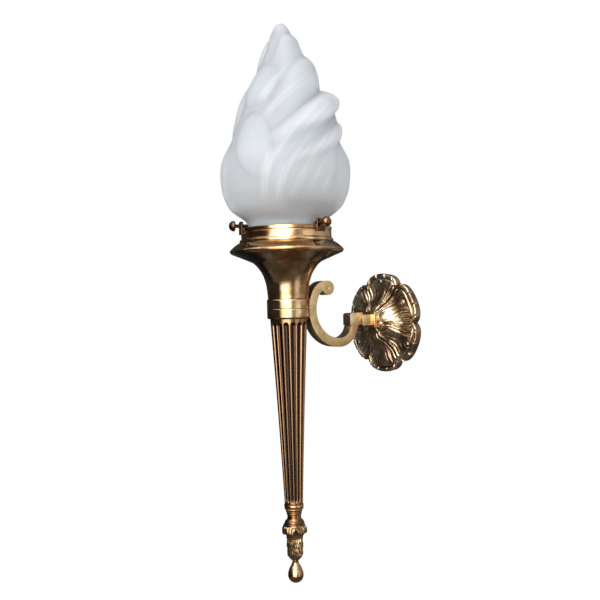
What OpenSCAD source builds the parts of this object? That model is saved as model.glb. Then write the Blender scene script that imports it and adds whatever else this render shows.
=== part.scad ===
// Torch wall sconce: a flame shade over a fluted brass torch, held off the wall by a C-scroll arm.
// Millimetres. The origin is the centre of the rosette on the wall plane. The wall is the plane Y = 0,
// the sconce stands out towards -Y, and Z is up. The torch's axis is upright at X = 0, Y = -projection.

/* [Wall plate and rosette] */
// distance of the petal tips from the rosette's centre
rosette_r = 55.4; // [50:0.2:62]
// height of the rosette's centre above the wall
rosette_depth = 23; // [20:0.5:28]
// thickness of the cast shell under the petals
rosette_wall = 2.6; // [2:0.1:3.2]
// depth of the notches between the petals
notch_depth = 6.2; // [4:0.1:7]
// radius of the rolled rim round each petal
rim_roll_r = 2.4; // [1.8:0.1:3]
// distance of the three rosette screws from the centre
rosette_screw_r = 46.2; // [44:0.2:48]
// thickness of the steel wall plate
plate_t = 2; // [1.5:0.1:3]
// distance between the centres of the two wall slots
slot_spacing = 50; // [46:1:54]
// end-to-end length of each wall slot
slot_length = 12; // [8:0.5:14]
// width of each wall slot
slot_width = 4.6; // [4:0.1:6]

/* [Arm] */
// distance of the torch's axis from the wall
projection = 138; // [130:1:160]
// height of the cross bar over the rosette's centre
arm_rise = 4; // [0:0.5:6]
// side of the square cross bar, and width of the scroll bar
bar_w = 12; // [11:0.5:14]
// thickness of the scroll bar in the plane of the scroll
scroll_t = 9.6; // [8.5:0.1:10.5]
// radius of the big arc of the scroll, along the middle of the bar
scroll_r = 35.9; // [33:0.1:38]
// radius of the round eye at the scroll's free end
eye_r = 7.6; // [6.5:0.1:8]
// side of the square flange plate on the rosette
flange_w = 17.5; // [16:0.5:20]
// radius of the wire channel in the bar and the scroll
wire_r = 2.4; // [1.8:0.1:2.6]

/* [Torch] */
// outer radius of the ferrule
ferrule_r = 22; // [21:0.1:24]
// height of the ferrule
ferrule_h = 20.5; // [19:0.5:24]
// radius of the fluted shaft at its top
shaft_top_r = 19.05; // [17:0.05:20]
// radius of the fluted shaft at its foot
shaft_foot_r = 9.4; // [9:0.1:11]
// length of the fluted shaft
shaft_l = 190.5; // [160:0.5:220]
// number of flutes
flutes = 16; // [12:1:20]
// greatest radius of the leaf collar
leaf_r = 13; // [12:0.1:14]
// number of lobes of the leaf collar
leaf_lobes = 6; // [5:1:8]
// radius of the ball finial
ball_r = 8.05; // [7:0.05:9]

/* [Bell and gallery] */
// radius of the bell's rim
bell_rim_r = 58.2; // [55:0.2:62]
// height of the bell
bell_h = 48.6; // [44:0.2:54]
// thickness of the spun bell and of the rim cover
spun_t = 1.2; // [1:0.1:1.6]
// outer radius of the gallery band
gallery_r = 46.7; // [45.5:0.1:48]
// height of the gallery band over its floor
gallery_h = 13; // [12:0.5:17]
// width of each lug
lug_w = 11.4; // [10:0.1:13]
// radius of the thumbscrew's shank
thumb_shank_r = 1.85; // [1.5:0.05:2]
// radius of the thumbscrew's domed head
thumb_head_r = 5.3; // [4.5:0.1:6]
// world angle of the first thumbscrew, seen from above
thumb_angle = 10; // [0:1:119]

/* [Glass and lamp] */
// radius of the glass neck
neck_r = 40; // [39:0.1:41]
// thickness of the glass
glass_t = 3; // [2.5:0.1:3.5]
// height of the glass from its lip to the tip of the flame
glass_h = 222.8; // [200:0.2:240]
// greatest radius of the flame
glass_r = 65.5; // [60:0.5:70]
// radius of the lamp bulb
bulb_r = 30; // [22:0.5:30]

/* [Hidden] */
$fn = 64;

gap = 0.1;              // clearance between parts that are put together and do not move
run_gap = 0.06;         // radial clearance of a thumbscrew in its lug
petals = 6;
rim_side = 3.5;                          // thickness of the rosette's side wall
plate_in = rim_side + 0.5;               // the wall plate stands this far inside the outline
valley_z = 6.3;                          // height of the valleys between the petals, near the rim
boss_r = 9;                              // flat top of the middle, from which the face flares down to the valleys
flare_r = rosette_r * 0.66;
puff_h = 3.3;                            // swell of each petal over the valleys beside it
roll_z = 6.6;                            // height of the middle of the rolled rim
well_r = 12.4;                           // hollow under the middle, for the nut
well_top = 3;                            // thickness of the middle over that hollow
washer_t = 1.2;
nut_t = 4;
thread_out = 3.4;                        // length of the nipple's thread that stands out of its nut
earth_at = [19, -17];                    // earth screw, from the rosette's centre
rosette_screw_angles = [90, 210, 330];
screw_shank_r = 1.95;                    // rosette screws
screw_head_r = 3;
screw_socket = 2.4;                      // across the flats
seat_h = valley_z + puff_h - 1.4;        // height of the screw heads' seats over the wall
slot_r = slot_width / 2;
nip_r = 4;                               // thread radius of the two short nipples
flange_t = 4;
flange_y = -rosette_depth - flange_t;
block_l = 18;
block_lead = 11.45;                      // the block stands this far before the scroll's foot
block_top = arm_rise + 8.5;
block_h = 13;
// centres and end angles of the scroll's arcs, in the plane of Y and Z
big_c = [-projection + ferrule_r + scroll_r + scroll_t / 2 + 0.5, arm_rise + 13.5];
foot_r = scroll_r * 0.58;
foot_a = 272;
top_r = scroll_r * 0.464;
top_a = 152;
foot_c = big_c + (scroll_r - foot_r) * [cos(foot_a), sin(foot_a)];
top_c = big_c + (scroll_r - top_r) * [cos(top_a), sin(top_a)];
block_y = foot_c[0] + foot_r + block_lead;   // face where the bar meets the scroll's block
bar_l = flange_y - block_y;
eye_a = 79;
eye_c = top_c + (top_r + scroll_t / 2 - eye_r + 0.2) * [cos(eye_a), sin(eye_a)];

ferrule_top = big_c[1] + 12.5;
ferrule_foot = ferrule_top - ferrule_h;
ferrule_wall = 2;
shaft_foot = ferrule_foot - shaft_l;
cup_h = 11;
neck_h = 11;
collar_h = 12;
bud_h = 26;
finial_h = 21.4;
neck_top = shaft_foot - cup_h;
collar_top = neck_top - neck_h;
bud_top = collar_top - collar_h;
finial_top = bud_top - bud_h;
tube_r = 5;                              // core tube
tube_bore = 3.5;
stud_r = 2;
bell_top = ferrule_top + bell_h;
cover_h = 9.2;                           // height of the bell's rim cover
cover_top = bell_top + cover_h + 2 * gap;
floor_t = 1.5;
floor_top = cover_top + floor_t;
lip_z = floor_top + 0.2;
screw_z = floor_top + gallery_h + 0.3 + thumb_shank_r;
lug_r0 = gallery_r - 0.4;
lug_t = 2.3;
nut_top = floor_top + 3.5;
holder_z = nut_top + gap;
holder_r = 20;
holder_h = 45;
cap_r = 13.2;                            // lamp cap
tip_z = holder_z + 22.4;
cap_z = tip_z + 2.4;
cap_l = 23;
bulb_l = 106.6;                          // bulb from its tip to its crown
bulb_c = tip_z + bulb_l - bulb_r;

// A point of a profile moved square to the line by t, to give a spun sheet its thickness.
function along(p, i) = let(a = p[max(i - 1, 0)], b = p[min(i + 1, len(p) - 1)], d = b - a) d / norm(d);
function moved(p, i, t) = p[i] + t * [-along(p, i)[1], along(p, i)[0]];
function sheet(p, t) = concat(p, [for (i = [len(p) - 1:-1:0]) moved(p, i, t)]);
function ease(a, b, x) = let(t = min(1, max(0, (x - a) / (b - a)))) t * t * (3 - 2 * t);

module on_wall(a = 0) { rotate([90, 0, 0]) rotate([0, 0, a]) children(); }
module at_torch() { translate([0, -projection, 0]) children(); }
module side_view() { rotate([90, 0, 90]) children(); }       // draws in Y and Z, thick along X
module lobes(inset) {
  polygon([for (p = [0:petals - 1]) for (t = [0:2.5:57.5]) let(a = p * 60 + t) outline_r(30 - t, inset) * [cos(a), sin(a)]]);
}
module hex(af, h) { cylinder(r = af / sqrt(3), h = h, $fn = 6); }

// ---------------------------------------------------------------- wall side
module wall_plate() color([0.62, 0.63, 0.65]) on_wall() difference() {
  linear_extrude(plate_t) lobes(plate_in);
  for (s = [-1, 1]) wall_slot(s * slot_spacing / 2);
  translate([0, -21, -1]) cylinder(r = 7, h = plate_t + 2);
  for (a = rosette_screw_angles) rotate(a) translate([rosette_screw_r, 0, -1]) cylinder(r = screw_shank_r + gap, h = plate_t + 2);
  translate([earth_at[0], earth_at[1], -1]) cylinder(r = 2 + gap, h = plate_t + 2);
  for (s = [-1, 1]) translate([s * 8, 25.5, -1]) cylinder(r = 1.2, h = plate_t + 2);
}
module wall_slot(x) {
  e = slot_length / 2 - slot_r;
  for (s = [-1, 1]) translate([x + s * e, 0, -1]) cylinder(r = slot_r, h = plate_t + 2);
  translate([x - e, -slot_r, -1]) cube([2 * e, slot_width, plate_t + 2]);
}
module earth_screw() color([0.72, 0.6, 0.3]) on_wall() translate([earth_at[0], earth_at[1], 0]) {
  translate([0, 0, plate_t]) cylinder(r1 = 3.6, r2 = 3.2, h = 2.2);
  translate([0, 0, 0.2]) cylinder(r = 2, h = plate_t);
}
pole = 7;                // width of each of the terminal block's three poles
block_deep = 9;
block_tall = 7.2;
module terminal_block() color([0.93, 0.93, 0.9]) on_wall() translate([0, 12.5, plate_t]) difference() {
  translate([-1.5 * pole, 0, 0]) cube([3 * pole, block_deep, block_tall]);
  for (x = [-pole, 0, pole]) {
    translate([x, -1, block_tall / 2]) rotate([-90, 0, 0]) cylinder(r = pole * 0.23, h = block_deep + 2, $fn = 32);
    for (t = [0.25, 0.75]) translate([x, t * block_deep, block_tall / 2]) cylinder(r = pole * 0.2, h = block_tall, $fn = 32);
  }
}
// Outline of the rosette at b degrees from the middle of a petal, moved in by q.
function outline_r(b, q = 0) = let(u = abs(b) / 30, r = rosette_r - notch_depth * pow(u, 4.5),
  slope = notch_depth * 4.5 * pow(u, 3.5) / 30 * 180 / PI) r - q * norm([1, slope / r]);
rib_off = 2.2;           // distance of each rib from the middle of its valley
rib_half = 1.5;
rib_high = 1.7;
cols = 14;
// Columns of one petal: the first four stand on the valley and its rib, the others are spread over the petal.
function rib_turn(s, r) = asin(s / max(r, 12));
function col_turn(j, r) = j > 7 ? 60 - col_turn(cols - j, r) : let(e = rib_turn(rib_off + rib_half, r))
  j == 0 ? 0 : j == 1 ? rib_turn(rib_off - rib_half, r) : j == 2 ? rib_turn(rib_off, r) : j == 3 ? e : e + (30 - e) * (j - 3) / 4;
// Height of the cast face: it flares down from the middle like a trumpet, each petal swells, and a rib stands
// on each side of a valley. q is the distance inside the outline.
function flare_z(r) = valley_z + (rosette_depth - valley_z) * (1 - ease(boss_r, flare_r, r));
function cast_z(r, b, q, crest) = flare_z(r) + puff_h * cos(180 / 60 * b) * ease(boss_r, flare_r, r) * ease(2 * rim_roll_r, 9, q)
  + (crest ? rib_high * ease(boss_r + 2, boss_r + 9, r) * ease(2 * rim_roll_r - 1, 10, q) : 0);
face_rings = [0.1, 0.2, 0.25, 0.3, 0.37, 0.44, 0.51];       // rings round the middle, as parts of the radius
edge_in = 10;                                               // width of the border that follows the petals
roll_rings = [180, 150, 120, 90, 60, 30, 0];
function on_ring(r, p, j, z) = let(a = p * 60 + col_turn(j, r)) [r * cos(a), r * sin(a), z];
function col_b(j, r) = 30 - col_turn(j, r);
function on_crest(j) = j == 2 || j == cols - 2;
// A ring of the face at a mix of the last round ring and the border, and one at the distance q inside the outline.
function mix_r(j, m) = let(r = face_rings[6] * rosette_r) r + m * (outline_r(col_b(j, rosette_r * 0.7), edge_in) - r);
function edge_r(j, q) = outline_r(col_b(j, rosette_r * 0.9), q);
function back_z(r) = flare_z(r) - rosette_wall * norm([1, (flare_z(r + 1) - flare_z(r - 1)) / 2]);
back_rings = [0.76, 0.67, 0.56, 0.47, 0.4, 0.33, 0.27];
module cast_skin() {
  n = petals * cols;
  function ring(f) = [for (p = [0:petals - 1]) for (j = [0:cols - 1]) f(p, j)];
  face = [for (t = face_rings) each ring(function(p, j) let(r = t * rosette_r) on_ring(r, p, j, cast_z(r, col_b(j, r), rosette_r, on_crest(j))))];
  mix = [for (m = [0.33, 0.66]) each ring(function(p, j) let(r = mix_r(j, m)) on_ring(r, p, j, cast_z(r, col_b(j, r), edge_in, on_crest(j))))];
  border = [for (q = [edge_in, 7.4, 5.7]) each ring(function(p, j) let(r = edge_r(j, q)) on_ring(r, p, j, cast_z(r, col_b(j, r), q, on_crest(j))))];
  roll = [for (e = roll_rings) each ring(function(p, j) on_ring(edge_r(j, rim_roll_r * (1 - cos(e))), p, j, roll_z + rim_roll_r * sin(e)))];
  side = [for (q = [[0.45, 5.4], [0.8, 0], [rim_side, 0], [rim_side, valley_z - rosette_wall - 0.4]])
    each ring(function(p, j) on_ring(edge_r(j, q[0]), p, j, q[1]))];
  back = [for (t = back_rings) each ring(function(p, j) let(r = t * rosette_r) on_ring(r, p, j, back_z(r)))];
  well = [for (z = [back_z(back_rings[6] * rosette_r) + 0.4, rosette_depth - well_top]) each ring(function(p, j) on_ring(well_r, p, j, z))];
  pts = concat([[0, 0, rosette_depth]], face, mix, border, roll, side, back, well, [[0, 0, rosette_depth - well_top]]);
  rows = (len(pts) - 2) / n;
  last = len(pts) - 1;
  polyhedron(pts, concat(
    [for (j = [0:n - 1]) [0, 1 + (j + 1) % n, 1 + j]],
    [for (i = [0:rows - 2]) for (j = [0:n - 1]) let(k = (j + 1) % n, p = 1 + i * n) [p + j, p + n + k, p + n + j]],
    [for (i = [0:rows - 2]) for (j = [0:n - 1]) let(k = (j + 1) % n, p = 1 + i * n) [p + j, p + k, p + n + k]],
    [for (j = [0:n - 1]) let(p = 1 + (rows - 1) * n) [p + j, p + (j + 1) % n, last]]), convexity = 6);
}
module rosette() color([0.5, 0.36, 0.2]) on_wall() difference() {
  cast_skin();
  translate([0, arm_rise, 0]) cylinder(r = nip_r + gap, h = rosette_depth + 2);
  for (a = rosette_screw_angles) rotate(a) translate([rosette_screw_r, 0, 0]) rotate(25) {
    cylinder(r = screw_shank_r + gap, h = rosette_depth);
    translate([0, 0, seat_h]) cylinder(r = screw_head_r + 0.3, h = rosette_depth);
  }
}
module rosette_screws() color([0.28, 0.29, 0.31]) on_wall() for (a = rosette_screw_angles)
  rotate(a) translate([rosette_screw_r, 0, 0]) difference() {
    union() {
      translate([0, 0, 0.3]) cylinder(r = screw_shank_r, h = seat_h + 0.4);
      translate([0, 0, seat_h + gap]) cylinder(r = screw_head_r, h = screw_head_r * 0.4);
      translate([0, 0, seat_h + gap + screw_head_r * 0.4]) cylinder(r1 = screw_head_r, r2 = screw_head_r * 0.66, h = screw_head_r / 3);
    }
    translate([0, 0, seat_h + screw_head_r * 0.27]) hex(screw_socket, screw_head_r);
  }

// ---------------------------------------------------------------- bar and scroll
module bar_flange() color([0.8, 0.66, 0.42]) on_wall() translate([0, arm_rise, rosette_depth]) difference() {
  translate([-flange_w / 2, -flange_w / 2, 0]) cube([flange_w, flange_w, flange_t]);
  translate([0, 0, -1]) cylinder(r = nip_r + gap, h = flange_t + 2);
}
module cross_bar() color([0.8, 0.66, 0.42]) translate([0, 0, arm_rise]) on_wall() translate([0, 0, -flange_y]) difference() {
  translate([-bar_w / 2, -bar_w / 2, 0]) cube([bar_w, bar_w, bar_l]);
  translate([0, 0, -1]) cylinder(r = nip_r + gap, h = bar_l + 2);
}
washer_z = rosette_depth - well_top - gap - washer_t;
bar_nut_z = washer_z - gap - nut_t;
nipple_z = bar_nut_z - thread_out;
module up_bar(z) { translate([0, 0, arm_rise]) on_wall() translate([0, 0, z]) children(); }
module bar_nipple() color([0.75, 0.62, 0.35]) up_bar(nipple_z) difference() {
  cylinder(r = nip_r, h = -block_y + 8 - gap - nipple_z);
  translate([0, 0, -1]) cylinder(r = wire_r + 0.2, h = -block_y + 12 - nipple_z);
}
module bar_washer() color([0.7, 0.7, 0.7]) up_bar(washer_z) difference() {
  cylinder(r = 2 * nip_r, h = washer_t);
  translate([0, 0, -1]) cylinder(r = nip_r + gap, h = washer_t + 2);
}
module bar_nut() color([0.75, 0.62, 0.35]) up_bar(bar_nut_z) difference() {
  hex(3.25 * nip_r, nut_t);
  translate([0, 0, -1]) cylinder(r = nip_r + gap / 2, h = nut_t + 2);
}
function arc(c, r, a0, a1, n) = [for (i = [0:n]) let(a = a0 + (a1 - a0) * i / n) c + r * [cos(a), sin(a)]];
// The side line of the bar at the distance d from its middle line, from the eye to the block.
function scroll_line(d) = concat(arc(top_c, top_r + d, eye_a, top_a, 14), arc(big_c, scroll_r + d, top_a + 4, foot_a - 4, 24),
  arc(foot_c, foot_r + d, foot_a, 360, 18));
function reversed(p) = [for (i = [len(p) - 1:-1:0]) p[i]];
module plate_yz(w, p) { translate([-w / 2, 0, 0]) side_view() linear_extrude(w) polygon(p); }
// The wire channel as a run of straight bores, the n-th point of the middle line to the next.
channel = concat([for (i = [0:7]) big_c + scroll_r * [cos(180 + i * (foot_a - 180) / 7), sin(180 + i * (foot_a - 180) / 7)]],
  [for (i = [1:4]) foot_c + foot_r * [cos(foot_a + i * (360 - foot_a) / 4), sin(foot_a + i * (360 - foot_a) / 4)]]);
module scroll_arm() color([0.8, 0.66, 0.42]) difference() {
  union() {
    plate_yz(bar_w, concat(scroll_line(scroll_t / 2), reversed(scroll_line(-scroll_t / 2))));
    translate([-bar_w / 2, eye_c[0], eye_c[1]]) rotate([0, 90, 0]) cylinder(r = eye_r, h = bar_w);
    // block at the wall end, its upper front corner rounded
    plate_yz(bar_w, concat([[block_y - gap, block_top - block_h], [block_y - gap, block_top]],
      arc([block_y - block_l + 3, block_top - 3], 3, 90, 180, 6), [[block_y - block_l, block_top - block_h]]));
    // pad against the ferrule
    translate([-bar_w / 2, -projection + ferrule_r - 2, big_c[1] - 7]) cube([bar_w, 4, 14]);
  }
  // seat of the ferrule
  at_torch() translate([0, 0, ferrule_foot - 5]) cylinder(r = ferrule_r + gap / 2, h = ferrule_h + 10, $fn = 128);
  // nipple from the bar
  translate([0, block_y + 1, arm_rise]) rotate([90, 0, 0]) cylinder(r = nip_r + gap / 2, h = 9);
  translate([0, block_y, arm_rise]) rotate([90, 0, 0]) cylinder(r = wire_r, h = block_y - foot_c[0] - foot_r);
  translate([0, foot_c[0] + foot_r, foot_c[1] - 1]) cylinder(r = wire_r + 0.1, h = arm_rise + 2.6 - foot_c[1]);
  for (i = [0:len(channel) - 2]) let(d = channel[i + 1] - channel[i])
    translate([0, channel[i][0], channel[i][1]]) rotate([atan2(d[1], d[0]), 0, 0]) translate([0, -0.5, 0])
      rotate([-90, 0, 0]) cylinder(r = wire_r + (i % 2) * 0.1, h = norm(d) + 1);
  // nipple into the ferrule
  translate([0, big_c[0] - scroll_r, big_c[1]]) rotate([90, 0, 0]) cylinder(r = nip_r + gap / 2, h = 30);
  // dents at the middle of the eye
  for (s = [-1, 1]) translate([s * (bar_w / 2 + 0.5), eye_c[0], eye_c[1]]) sphere(r = 1.2, $fn = 24);
}
module arm_nipple() color([0.75, 0.62, 0.35]) translate([0, big_c[0] - scroll_r - gap, big_c[1]]) rotate([90, 0, 0]) difference() {
  cylinder(r = nip_r, h = 14);
  translate([0, 0, -1]) cylinder(r = wire_r + 0.2, h = 20);
}
module arm_nut() color([0.75, 0.62, 0.35]) intersection() {
  translate([0, -projection + ferrule_r - ferrule_wall, big_c[1]]) rotate([90, 0, 0]) difference() {
    hex(10.6, 5);
    translate([0, 0, -1]) cylinder(r = nip_r + gap / 2, h = 8);
  }
  at_torch() translate([0, 0, ferrule_foot]) cylinder(r = ferrule_r - ferrule_wall - gap, h = ferrule_h, $fn = 128);
}

// ---------------------------------------------------------------- torch
module ferrule() color([0.55, 0.42, 0.24]) difference() {
  at_torch() translate([0, 0, ferrule_foot]) rotate_extrude($fn = 128) polygon([
    [12, gap / 2], [ferrule_r - 1.6, gap / 2], [ferrule_r - 0.5, 0.6], [ferrule_r, 1.8],
    [ferrule_r, ferrule_h / 2 - 0.3], [ferrule_r - 0.25, ferrule_h / 2], [ferrule_r, ferrule_h / 2 + 0.3],
    [ferrule_r, ferrule_h - 1.4], [ferrule_r - 0.5, ferrule_h - 0.5], [ferrule_r - 1.3, ferrule_h - gap / 2],
    [12, ferrule_h - gap / 2], [12, ferrule_h - 2.5], [ferrule_r - ferrule_wall, ferrule_h - 2.5],
    [ferrule_r - ferrule_wall, 2.5], [12, 2.5]]);
  translate([0, big_c[0], big_c[1]]) rotate([90, 0, 0]) cylinder(r = nip_r + gap / 2, h = projection + big_c[0]);
}
// Shaft radius over the height t, from 0 at its foot to 1 at its top.
function shaft_r(t) = shaft_foot_r + (shaft_top_r - shaft_foot_r) * (t - 0.2 * t * (1 - t));
flute_w = PI * shaft_top_r / flutes * 0.78;          // half-width of a flute at the top
flute_n = PI * shaft_foot_r / flutes * 0.78;
module fluted_shaft() color([0.5, 0.37, 0.2]) at_torch() translate([0, 0, shaft_foot]) difference() {
  rotate_extrude($fn = 128) polygon(concat([[0, 0]], [for (i = [0:5]) [shaft_r(i / 5), i / 5 * shaft_l]], [[0, shaft_l]]));
  for (i = [0:flutes - 1]) rotate(i * 360 / flutes) {
    q0 = flute_at(5);
    q1 = flute_at(shaft_l - 8);
    tilt = atan((q1[0] - q0[0]) / (shaft_l - 13));
    translate([q0[0], 0, 5]) rotate([0, tilt, 0]) cylinder(r1 = q0[1], r2 = q1[1], h = norm([q1[0] - q0[0], shaft_l - 13]), $fn = 32);
    translate([q1[0], 0, shaft_l - 8]) cylinder(r1 = q1[1], r2 = 0.4, h = q1[1] * 1.3, $fn = 32);
    translate([q0[0], 0, 5 - q0[1] * 1.2]) cylinder(r1 = 0.3, r2 = q0[1], h = q0[1] * 1.2, $fn = 32);
  }
  translate([0, 0, -1]) cylinder(r = tube_r + gap, h = shaft_l + 2);
}
// Centre distance and radius of the round cutter that leaves a flute at height z.
function flute_at(z) = let(t = z / shaft_l, w = flute_n + (flute_w - flute_n) * t) [shaft_r(t) + w * 0.42, w * 1.08];

module shaft_cup() color([0.55, 0.42, 0.24]) at_torch() translate([0, 0, shaft_foot]) difference() {
  rotate_extrude($fn = 96) polygon([[0, -gap], [9.2, -gap], [9.9, -0.6], [10.1, -1.6], [10, -3], [9.55, -4],
    [9.5, -5.2], [8.7, -7.1], [7.5, -9], [7.25, -9.4], [7.9, -10], [7.9, -10.5], [7.4, -cup_h], [0, -cup_h]]);
  translate([0, 0, -6]) cylinder(r = tube_r + gap / 2, h = 10);
  translate([0, 0, -cup_h - 1]) cylinder(r = stud_r + gap / 2, h = cup_h);
}
module lower_neck() color([0.55, 0.42, 0.24]) at_torch() translate([0, 0, neck_top]) difference() {
  rotate_extrude($fn = 96) polygon([[0, -gap], [7.2, -gap], [7.15, -4.2], [7.4, -5.2], [8.6, -6.2], [9.5, -7],
    [10.1, -8.1], [9.9, -8.6], [10.6, -9.2], [10.6, -9.9], [10.1, -10.3], [10.4, -neck_h], [0, -neck_h]]);
  translate([0, 0, -neck_h - 1]) cylinder(r = stud_r + gap, h = neck_h + 2);
}
module leaf_collar() color([0.52, 0.38, 0.2]) at_torch() translate([0, 0, collar_top]) difference() {
  union() {
    rotate_extrude($fn = 96) polygon([[0, -gap], [10.4, -gap], [11.6, -1.6], [leaf_r - 1.2, -4], [leaf_r - 1.6, -6.5],
      [10.2, -9], [9, -collar_h], [0, -collar_h]]);
    for (i = [0:leaf_lobes - 1]) rotate(i * 360 / leaf_lobes) {
      translate([leaf_r - 4, 0, -4.6]) sphere(r = 4, $fn = 40);
      translate([9.4, 0, -6]) rotate([0, 188, 0]) cylinder(r1 = 3.2, r2 = 1.6, h = 5.4, $fn = 32);
    }
  }
  translate([0, 0, -collar_h - 1]) cylinder(r = stud_r + gap, h = collar_h + 2);
  translate([0, 0, -collar_h - 5]) cylinder(r = 40, h = 5);
}
module leaf_bud() color([0.52, 0.38, 0.2]) at_torch() translate([0, 0, bud_top]) difference() {
  union() {
    rotate_extrude($fn = 96) polygon([[0, -gap], [8.4, -gap], [8.1, -3], [7.9, -8], [7.6, -14], [7.2, -19], [6.5, -21.2],
      [5, -23.2], [3.4, -25.2], [3.2, -bud_h], [0, -bud_h]]);
    for (i = [0:leaf_lobes - 1]) rotate((i + 0.5) * 360 / leaf_lobes)
      translate([6.2, 0, -20]) rotate([0, 1.5, 0]) cylinder(r1 = 1.7, r2 = 2.5, h = 20 - gap, $fn = 32);
  }
  translate([0, 0, -bud_h - 1]) cylinder(r = stud_r + gap, h = bud_h + 2);
}
module ball_finial() color([0.6, 0.45, 0.25]) at_torch() translate([0, 0, finial_top]) difference() {
  union() {
    rotate_extrude($fn = 96) polygon([[0, -gap], [3.3, -gap], [3.6, -1.4], [6.2, -5.6], [7.5, -8], [7.8, -9.6], [0, -10.6]]);
    translate([0, 0, ball_r - finial_h]) sphere(r = ball_r, $fn = 96);
  }
  translate([0, 0, -9]) cylinder(r = stud_r + gap / 2, h = 12);
}
module finial_stud() color([0.7, 0.7, 0.7]) at_torch() translate([0, 0, finial_top - 8.5])
  cylinder(r = stud_r, h = shaft_foot - cup_h + 4.5 - finial_top + 8.5);
module core_tube() color([0.75, 0.62, 0.35]) at_torch() difference() {
  translate([0, 0, shaft_foot - 5.8]) cylinder(r = tube_r, h = holder_z + 8 - shaft_foot + 5.8);
  translate([0, 0, shaft_foot - 7]) cylinder(r = tube_bore, h = holder_z + 20 - shaft_foot);
  // wire hole in the ferrule
  translate([0, 0, big_c[1]]) rotate([-90, 0, 0]) cylinder(r = wire_r, h = 10, $fn = 32);
}
module core_nut() color([0.75, 0.62, 0.35]) at_torch() translate([0, 0, floor_top + gap / 2]) difference() {
  hex(17, nut_top - floor_top - gap / 2);
  translate([0, 0, -1]) cylinder(r = tube_r + gap / 2, h = 8);
}
// Outer line of the bell, from its foot to its rim.
bell_line = [for (q = [[0, 0.357], [0.09, 0.361], [0.17, 0.368], [0.26, 0.377], [0.34, 0.39], [0.425, 0.41],
  [0.51, 0.437], [0.6, 0.479], [0.68, 0.527], [0.765, 0.602], [0.805, 0.67], [0.848, 0.755], [0.885, 0.825],
  [0.922, 0.9], [0.955, 0.968], [0.978, 0.995], [0.998, 1]]) [bell_rim_r * q[1], bell_h * q[0]]];
module bell() color([0.6, 0.46, 0.26]) at_torch() translate([0, 0, ferrule_top]) difference() {
  union() {
    rotate_extrude($fn = 128) polygon(sheet(bell_line, spun_t));
    cylinder(r = bell_line[0][0], h = 1.6);
  }
  translate([0, 0, -1]) cylinder(r = tube_r + gap, h = 4);
}
cover_w = bell_rim_r + 0.2 - gallery_r;
cover_line = [for (q = [[0, 0], [0, 0.04], [0.025, 0.14], [0.16, 0.34], [0.4, 0.61], [0.65, 0.84], [0.85, 0.967], [1, 1]])
  [bell_rim_r + 0.4 - q[0] * cover_w, q[1] * cover_h]];
module rim_cover() color([0.6, 0.46, 0.26]) at_torch() translate([0, 0, bell_top + gap]) difference() {
  union() {
    rotate_extrude($fn = 128) polygon(sheet(cover_line, spun_t));
    translate([0, 0, cover_h - spun_t]) cylinder(r = gallery_r + 0.3, h = spun_t, $fn = 128);
  }
  translate([0, 0, 5]) cylinder(r = tube_r + gap, h = 8);
}
module gallery_ring() color([0.62, 0.48, 0.28]) at_torch() translate([0, 0, cover_top]) difference() {
  union() {
    rotate_extrude($fn = 128) polygon([[0, 0], [gallery_r + 1.6, 0], [gallery_r + 1.6, 1.8], [gallery_r + 0.6, 3],
      [gallery_r - 0.3, 3.3], [gallery_r - 0.3, 10], [gallery_r - 0.8, 10.4], [gallery_r - 0.8, 10.9], [gallery_r, 11.3],
      [gallery_r, floor_t + gallery_h - 0.4], [gallery_r - 0.4, floor_t + gallery_h], [gallery_r - 1.6, floor_t + gallery_h],
      [gallery_r - 1.6, floor_t], [0, floor_t]]);
    for (i = [0:2]) rotate(thumb_angle + i * 120) lug();
  }
  translate([0, 0, -1]) cylinder(r = tube_r + gap, h = 6);
  for (i = [0:2]) rotate(thumb_angle + i * 120) {
    translate([gallery_r - 3, 0, screw_z - cover_top]) rotate([0, 90, 0]) cylinder(r = thumb_shank_r + run_gap, h = 10, $fn = 48);
    rotate(60) translate([30, 0, -1]) cylinder(r = 4, h = 5);
  }
}
module lug() {
  z1 = screw_z - cover_top + 4.4;
  translate([lug_r0, -lug_w / 2, 8]) cube([lug_t, lug_w, z1 - 8 - 2.5]);
  translate([lug_r0, -lug_w / 2 + 2.5, 8]) cube([lug_t, lug_w - 5, z1 - 8]);
  for (s = [-1, 1]) translate([lug_r0, s * (lug_w / 2 - 2.5), z1 - 2.5]) rotate([0, 90, 0]) cylinder(r = 2.5, h = lug_t, $fn = 32);
}
// A thumbscrew along the X axis, with its tip at the glass.
module thumbscrew() at_torch() translate([0, 0, screw_z]) {
  translate([neck_r + 0.9, 0, 0]) rotate([0, 90, 0]) cylinder(r = thumb_shank_r, h = gallery_r + 7.5 - neck_r - 0.9, $fn = 48);
  translate([neck_r + 0.3, 0, 0]) rotate([0, 90, 0]) cylinder(r1 = thumb_shank_r - 0.6, r2 = thumb_shank_r, h = 0.65, $fn = 48);
  translate([gallery_r + 7.2, 0, 0]) rotate([0, 90, 0]) rotate_extrude($fn = 64) polygon([[0, 0], [thumb_head_r - 0.6, 0],
    [thumb_head_r, 0.6], [thumb_head_r, 1.9], [thumb_head_r - 0.5, 3.2], [thumb_head_r - 1.5, 4.6], [thumb_head_r - 3, 5.6], [0, 6]]);
}
module turned(i) { at_torch() rotate(thumb_angle + i * 120) translate([0, projection, 0]) children(); }
module thumbscrew_1() color([0.66, 0.5, 0.28]) turned(0) thumbscrew();
module thumbscrew_2() color([0.66, 0.5, 0.28]) turned(1) thumbscrew();
module thumbscrew_3() color([0.66, 0.5, 0.28]) turned(2) thumbscrew();

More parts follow.
